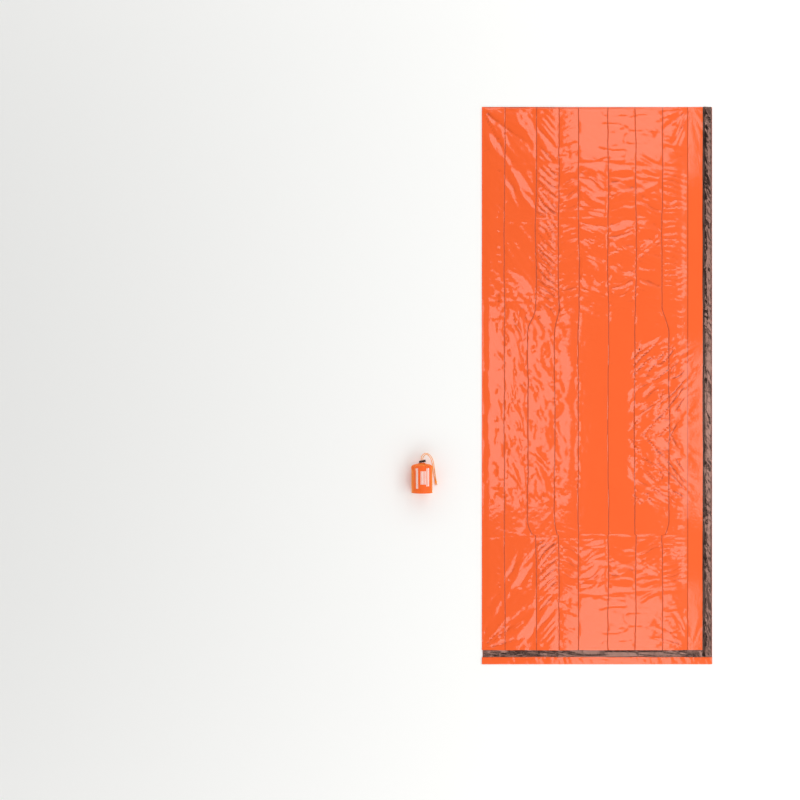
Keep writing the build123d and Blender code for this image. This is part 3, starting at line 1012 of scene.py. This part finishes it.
leftRoute = tailRoute(cordShape["stations"][0], [23.5], [
    (10.0, 152.0, 45.5), (29.5, 145.5, 34.0), (42.5, 125.0, 18.0), (47.0, 101.0, 5.0),
    (50.2, 78.0, None), (52.6, 58.5, None), (55.6, 41.5, 3.0)])
rightRoute = tailRoute(cordShape["stations"][1], [13.0, 21.5], [
    (15.6, 149.5, 45.0), (30.5, 136.0, 32.0), (38.5, 117.0, 15.0), (42.5, 95.5, 4.0),
    (44.2, 75.0, None), (48.0, 57.5, None), (52.4, 41.5, 3.0)])


def routePath(points, spacing):
    # the smooth line through a route: a NURBS spline read back and spaced evenly
    curve = bpy.data.curves.new("route", "CURVE")
    curve.dimensions = "3D"
    curve.resolution_u = 24
    spline = curve.splines.new("NURBS")
    spline.points.add(len(points) - 1)
    for point, place in zip(spline.points, points):
        point.co = (*place, 1)
    spline.order_u = 3
    spline.use_endpoint_u = True
    holder = bpy.data.objects.new("route", curve)
    bpy.context.collection.objects.link(holder)
    bpy.context.view_layer.update()
    drawn = bpy.data.meshes.new_from_object(holder)
    line = np.array([v.co for v in drawn.vertices])
    bpy.data.objects.remove(holder)
    run = runAlong(line)
    even = np.linspace(0, run[-1], max(4, round(run[-1] / spacing)))
    return np.stack([np.interp(even, run, line[:, i]) for i in range(3)], axis=1)


def buildTail(name, route, node, material):
    line = routePath(route, cordShape["ring"])
    tail = tubeMesh(name, line, cordShape["radius"], relief=braidRelief)
    giveMaterial(tail, material, 60)
    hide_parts(node)
    return tail, line


def buildKnot(material):
    # an overhand knot in both tails: across, towards the sack's mouth and up from its middle, mm
    turns = (
        (0.4, 6.4, -1.6), (0.2, 4.0, -0.8), (-2.6, 1.7, 1.5), (-3.2, -1.5, 1.6), (-0.4, -3.3, 1.9),
        (2.8, -1.9, 1.5), (3.2, 1.2, -0.3), (0.8, 3.1, -2.0), (-2.4, 1.9, -2.0), (-2.7, -0.8, -1.4),
        (-0.6, -1.9, -0.6), (0.5, -4.2, -1.6), (1.0, -6.2, -2.4),
    )
    across, up, high = cordShape["knot"]
    strands = []
    for (dx, dy, dz), spread in (((-1.3, 0.3, -0.5), 0.8), ((1.1, -0.2, 0.45), 1.0)):
        points = []
        for i, (x, y, z) in enumerate(turns):
            out = 1.0 if i in (0, len(turns) - 1) else 0.75
            over = max(high + z + dz * out, cordShape["onFloor"] / mm)
            points.append(sackPoint(across + (x * 0.82 + dx * out), up + y + dy * spread, over))
        line = routePath(points, cordShape["ring"])
        strands.append(tubeMesh("strand", line, cordShape["radius"] * 0.96, relief=braidRelief))
    return joinPieces(strands, "drawcordKnot", material, "drawcord_knot")


def buildTips(material):
    # the two ends below the knot, melted to a bead so that they don't fray
    across, up, high = cordShape["knot"]
    tips = []
    for a, lean in ((2.2, 24.0), (-1.3, -9.0)):
        way = Vector((math.sin(math.radians(lean)), -math.cos(math.radians(lean)), 0))
        start = sackPoint(across + a * 0.8, up - 4.4, high / 2)
        end = start + way * cordShape["tipLength"] * mm
        line = np.array([start.lerp(end, i / 20) + Vector((0, 0, -0.0006)) * (i / 20) for i in range(21)])
        radius = np.full(21, cordShape["radius"] * 0.98)
        radius[-4:] *= np.array(cordShape["tipBead"])
        tips.append(tubeMesh("tip", line, radius, relief=braidRelief))
    return joinPieces(tips, "drawcordTips", material, "drawcord_tips")


# ---- cord lock

lockShape = {  # mm, along X from the lock's middle
    "barrelLeft": -9.0, "barrelRight": 13.0, "barrelRadius": 4.1,
    "boreRadius": 2.95, "endWall": 2.0,
    "gripStart": 6.4, "gripRings": 5, "ringHeight": 0.55,
    "holeRadius": 1.65,
    "plungerRadius": 2.75, "plungerEnd": 6.0, "travel": 1.9,
    "headRadius": 3.9, "headLength": 1.5,
    "slotHalfLength": 2.6, "slotHalfHeight": 1.5,
    "springWire": 0.22, "springRadius": 2.2, "springTurns": 5,
    "collar": 1.2,
    "springGap": 0.05,  # clear space at each end
    "rounding": 0.22, "buttonRounding": 0.25, "buttonRim": 0.9, "buttonDish": 0.35,
}


def addRod(name, radius, x0, x1, sides=64):
    bpy.ops.object.select_all(action="DESELECT")
    bpy.ops.mesh.primitive_cylinder_add(
        vertices=sides, radius=radius * mm, depth=(x1 - x0) * mm,
        location=((x0 + x1) / 2 * mm, 0, 0), rotation=(0, math.pi / 2, 0))
    rod = bpy.context.active_object
    rod.name = rod.data.name = name
    bpy.ops.object.transform_apply(location=True, rotation=True, scale=True)
    return rod


def selectFaces(piece, test):
    # faces chosen by their centre and normal, in millimetres, from edit mode or out of it
    bpy.ops.object.mode_set(mode="OBJECT")
    for part in (piece.data.vertices, piece.data.edges, piece.data.polygons):
        part.foreach_set("select", [False] * len(part))
    for face in piece.data.polygons:
        face.select = bool(test(face.center / mm, face.normal))
    bpy.context.tool_settings.mesh_select_mode = (False, False, True)
    bpy.ops.object.mode_set(mode="EDIT")


def cutRings(stations):
    for x in stations:
        bpy.ops.mesh.select_all(action="SELECT")
        bpy.ops.mesh.bisect(plane_co=(x * mm, 0, 0), plane_no=(1, 0, 0))


def bore(piece, radius, x, stretch=(1, 1)):
    # a hole through the piece along Y, round or stretched to a slot
    bpy.ops.mesh.primitive_cylinder_add(
        vertices=40, radius=radius * mm, depth=14 * mm, location=(x * mm, 0, 0), rotation=(math.pi / 2, 0, 0))
    drill = bpy.context.active_object
    drill.scale = (*stretch, 1)
    cut = piece.modifiers.new("hole", "BOOLEAN")
    cut.operation, cut.solver, cut.object = "DIFFERENCE", "EXACT", drill
    bpy.context.view_layer.update()
    selectOnly(piece)
    bpy.ops.object.modifier_apply(modifier=cut.name)
    bpy.data.objects.remove(drill)


def bevelEdges(piece, width):
    # back from edit mode, with every sharp edge rounded
    bpy.ops.mesh.select_all(action="DESELECT")
    bpy.ops.object.mode_set(mode="OBJECT")
    rounding = piece.modifiers.new("rounding", "BEVEL")
    rounding.width, rounding.segments = width * mm, 2
    rounding.limit_method, rounding.angle_limit = "ANGLE", math.radians(35)
    bpy.ops.object.modifier_apply(modifier=rounding.name)


def extrude(distance):  # the chosen faces, along X, mm
    bpy.ops.mesh.extrude_region_move(TRANSFORM_OT_translate={"value": (distance * mm, 0, 0)})


def placeLock(piece, material, degrees):
    piece.data.transform(Matrix.Translation(lockMiddle) @ Matrix.Rotation(tilt, 4, "Z"))
    giveMaterial(piece, material, degrees)


def buildBarrel(material):
    s = lockShape
    left, start = s["barrelLeft"], s["gripStart"]
    barrel = addRod("lockBarrel", s["barrelRadius"], left, s["barrelRight"])
    pitch = (s["barrelRight"] - start) / s["gripRings"]
    rings = [(start + (i + 0.40) * pitch, start + (i + 1) * pitch) for i in range(s["gripRings"])]
    collarEnd = left + s["collar"]
    bpy.ops.object.mode_set(mode="EDIT")
    cutRings([x for ring in rings for x in ring][:-1] + [collarEnd])

    def raised(centre, normal):
        inRing = centre.x < collarEnd or any(low < centre.x < high for low, high in rings)
        return inRing and abs(normal.x) < 0.5

    selectFaces(barrel, raised)
    bpy.ops.mesh.extrude_region_shrink_fatten(TRANSFORM_OT_shrink_fatten={"value": s["ringHeight"] * mm})
    selectFaces(barrel, lambda c, n: n.x < -0.9 and c.x < left + 0.1 and max(abs(c.y), abs(c.z)) < 0.5)
    bpy.ops.mesh.inset(thickness=(s["barrelRadius"] - s["boreRadius"]) * mm)
    extrude(s["barrelRight"] - s["endWall"] - left)
    bevelEdges(barrel, s["rounding"])
    for x in cordShape["stations"]:
        bore(barrel, s["holeRadius"], x)
    placeLock(barrel, material, 35)
    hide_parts("lock_barrel")
    return barrel


def buildPlunger(material):
    s = lockShape
    neck = s["barrelLeft"] - s["travel"] - 0.1
    plunger = addRod("lockPlunger", s["plungerRadius"], neck, s["plungerEnd"])
    bpy.ops.object.mode_set(mode="EDIT")
    selectFaces(plunger, lambda c, n: n.x < -0.9)
    extrude(0)
    grow = s["headRadius"] / s["plungerRadius"]
    bpy.ops.transform.resize(value=(1, grow, grow), center_override=(neck * mm, 0, 0))
    extrude(-s["headLength"])
    bpy.ops.mesh.inset(thickness=s["buttonRim"] * mm)
    extrude(s["buttonDish"])
    bevelEdges(plunger, s["buttonRounding"])
    for x in cordShape["stations"]:
        bore(plunger, 1.0, x - s["travel"] / 2, (s["slotHalfLength"], s["slotHalfHeight"]))
    placeLock(plunger, material, 35)
    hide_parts("lock_plunger")
    return plunger


def buildSpring(material):
    s = lockShape
    start = s["plungerEnd"] + s["springWire"] + s["springGap"]
    length = s["barrelRight"] - s["endWall"] - s["springWire"] - s["springGap"] - start
    bpy.ops.object.select_all(action="DESELECT")
    bpy.ops.mesh.primitive_circle_add(
        vertices=10, radius=s["springWire"] * mm, location=(start * mm, s["springRadius"] * mm, 0))
    spring = bpy.context.active_object
    spring.name = spring.data.name = "lockSpring"
    bpy.ops.object.transform_apply(location=True, rotation=True, scale=True)
    wind = spring.modifiers.new("turns", "SCREW")
    wind.axis, wind.iterations = "X", s["springTurns"]
    wind.steps = wind.render_steps = 28
    wind.screw_offset = length / s["springTurns"] * mm
    bpy.ops.object.modifier_apply(modifier=wind.name)
    closeSurface(spring)
    placeLock(spring, material, 50)
    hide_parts("lock_spring")
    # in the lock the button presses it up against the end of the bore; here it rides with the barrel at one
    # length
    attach(spring, "cord_lock")
    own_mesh(spring)
    return spring


# nylon taffeta: plain weave with a soft sheen that turns the edges of the roll yellower
def sackNylon():
    material, tree, shader = newMaterial("orangeNylonTaffeta", {
        "Roughness": 0.55, "Specular IOR Level": 0.35, "Sheen Weight": 1.0,
        "Sheen Roughness": 0.5, "Sheen Tint": hexColour("FFC24A"),
    })
    _, _, tint = mottledTint(tree, 60.0, 3.0, "FF5C14", "FC6A1E")
    # real threads are 0.25 mm apart; drawn at 0.5 mm so that the weave shows
    cloth = addNode(tree, "ShaderNodeUVMap", {"uv_map": "metres"})
    scale = {"operation": "SCALE", "Scale": 2 * math.pi / 0.0010}
    spread = addNode(tree, "ShaderNodeVectorMath", scale, {"Vector": cloth.outputs["UV"]})
    axes = addNode(tree, "ShaderNodeSeparateXYZ", links={"Vector": spread.outputs[0]})
    threads = {}
    for i, axis in enumerate("XY"):
        wave = addNode(tree, "ShaderNodeMath", {"operation": "SINE"}, {0: axes.outputs[axis]})
        threads[i] = wave.outputs[0]
    weave = addNode(tree, "ShaderNodeMath", {"operation": "MULTIPLY"}, threads).outputs[0]
    limits = {"From Min": -1.0, "From Max": 1.0, "To Min": 0.90, "To Max": 1.04}
    depth = addNode(tree, "ShaderNodeMapRange", limits, {"Value": weave})
    shade = addNode(tree, "ShaderNodeHueSaturation", links={"Value": depth.outputs[0], "Color": tint})
    bump = addNode(tree, "ShaderNodeBump", {"Strength": 0.35, "Distance": 0.00008}, {"Height": weave})
    tree.links.new(shade.outputs[0], shader.inputs["Base Color"])
    tree.links.new(bump.outputs[0], shader.inputs["Normal"])
    return material


# screen-print ink: matt, thin enough for the weave to break it up a little
def whiteInk():
    material, tree, shader = newMaterial("whiteScreenInk", {"Roughness": 0.6})
    _, grain, tint = mottledTint(tree, 1500.0, 2.0, "F4F0EA", "FFFDF8")
    tree.links.new(tint, shader.inputs["Base Color"])
    bump = addNode(tree, "ShaderNodeBump", {"Strength": 0.3, "Distance": 0.00005}, {"Height": grain})
    tree.links.new(bump.outputs[0], shader.inputs["Normal"])
    return material


# braided polyester cord: bright sheath with a dark tracer that surfaces in short flecks
def tracerCord(name="braidedTracerCord", flecks=True):
    material, tree, shader = newMaterial(name, {
        "Roughness": 0.6, "Sheen Weight": 0.3, "Sheen Roughness": 0.4,
    })
    place, _, colour = mottledTint(tree, 500.0, 2.0, "FB9620", "FFB23A")
    if flecks:
        # a fleck about 1 mm long every 6.4 mm, on two tracers that wind round the cord
        cord = addNode(tree, "ShaderNodeUVMap", {"uv_map": "metres"})
        axes = addNode(tree, "ShaderNodeSeparateXYZ", links={"Vector": cord.outputs["UV"]})
        marks = {}
        for i, (perTurn, pitch, share) in enumerate(((2.0, 0.0064, 0.17), (3.0, -0.0320, 0.26))):
            turns = {"operation": "MULTIPLY", 1: perTurn}
            wound = addNode(tree, "ShaderNodeMath", turns, {0: axes.outputs["X"]})
            sources = {0: axes.outputs["Y"], 2: wound.outputs[0]}
            lean = addNode(tree, "ShaderNodeMath", {"operation": "MULTIPLY_ADD", 1: 1 / pitch}, sources)
            phase = addNode(tree, "ShaderNodeMath", {"operation": "FRACT"}, {0: lean.outputs[0]})
            short = {"operation": "LESS_THAN", 1: share}
            marks[i] = addNode(tree, "ShaderNodeMath", short, {0: phase.outputs[0]}).outputs[0]
        fleck = addNode(tree, "ShaderNodeMath", {"operation": "MULTIPLY"}, marks)
        dark = {"data_type": "RGBA", 7: hexColour("2A1408")}
        colour = addNode(tree, "ShaderNodeMix", dark, {"Factor": fleck.outputs[0], 6: colour}).outputs[2]
    tree.links.new(colour, shader.inputs["Base Color"])
    fibre = addNode(tree, "ShaderNodeTexNoise", {"Scale": 3000.0, "Detail": 1.0}, {"Vector": place})
    fibre = fibre.outputs["Fac"]
    bump = addNode(tree, "ShaderNodeBump", {"Strength": 0.3, "Distance": 0.00005}, {"Height": fibre})
    tree.links.new(bump.outputs[0], shader.inputs["Normal"])
    return material


# acetal moulding: near black, satin, with a faint spark-eroded grain
def blackAcetal():
    material, tree, shader = newMaterial("blackAcetal", {"Roughness": 0.38, "IOR": 1.48})
    _, grain, tint = mottledTint(tree, 2500.0, 2.0, "0B0A0A", "161413")
    tree.links.new(tint, shader.inputs["Base Color"])
    bump = addNode(tree, "ShaderNodeBump", {"Strength": 0.25, "Distance": 0.00003}, {"Height": grain})
    tree.links.new(bump.outputs[0], shader.inputs["Normal"])
    return material


# music wire: cold drawn, so it is bright with fine lines along it
def drawnWire():
    material, tree, shader = newMaterial("drawnSteelWire", {"Metallic": 1.0, "Roughness": 0.3})
    _, _, tint = mottledTint(tree, 4000.0, 2.0, "A9A9A6", "C9C8C4")
    tree.links.new(tint, shader.inputs["Base Color"])
    return material


nylon = sackNylon()
cordCloth = tracerCord()
thread = tracerCord("polyesterThread", flecks=False)
acetal = blackAcetal()

sackPieces = [
    buildSackBody(nylon),
    buildSackBase(nylon),
    buildBaseSeam(nylon),
    buildSideSeam(nylon),
    buildPrintedBars(whiteInk()),
    buildStitches(thread),
]
print("stuff sack", sum(len(p.data.polygons) for p in sackPieces), "faces")

leftTail, leftLine = buildTail("drawcordLeftTail", leftRoute, "drawcord_left_tail", cordCloth)
rightTail, rightLine = buildTail("drawcordRightTail", rightRoute, "drawcord_right_tail", cordCloth)
knot = buildKnot(cordCloth)
tips = buildTips(cordCloth)
print("drawcord tails", round(runAlong(leftLine)[-1], 4), round(runAlong(rightLine)[-1], 4), "m")
for piece in (*sackPieces, leftTail, rightTail, knot, tips):
    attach(piece, "stuff_sack")
tuple(leftLine[6])
[tuple(p) for p in leftLine[::8]]
tuple(rightLine[6])
[tuple(p) for p in rightLine[::8]]
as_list(sackPieces[1:])

barrel = buildBarrel(acetal)
plunger = buildPlunger(acetal)
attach(barrel, "cord_lock")
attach(plunger, "lock_button")
print("cord lock", len(barrel.data.polygons) + len(plunger.data.polygons), "faces")

buildSpring(drawnWire())
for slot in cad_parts["drawcord_loop"].material_slots:
    slot.material = thread
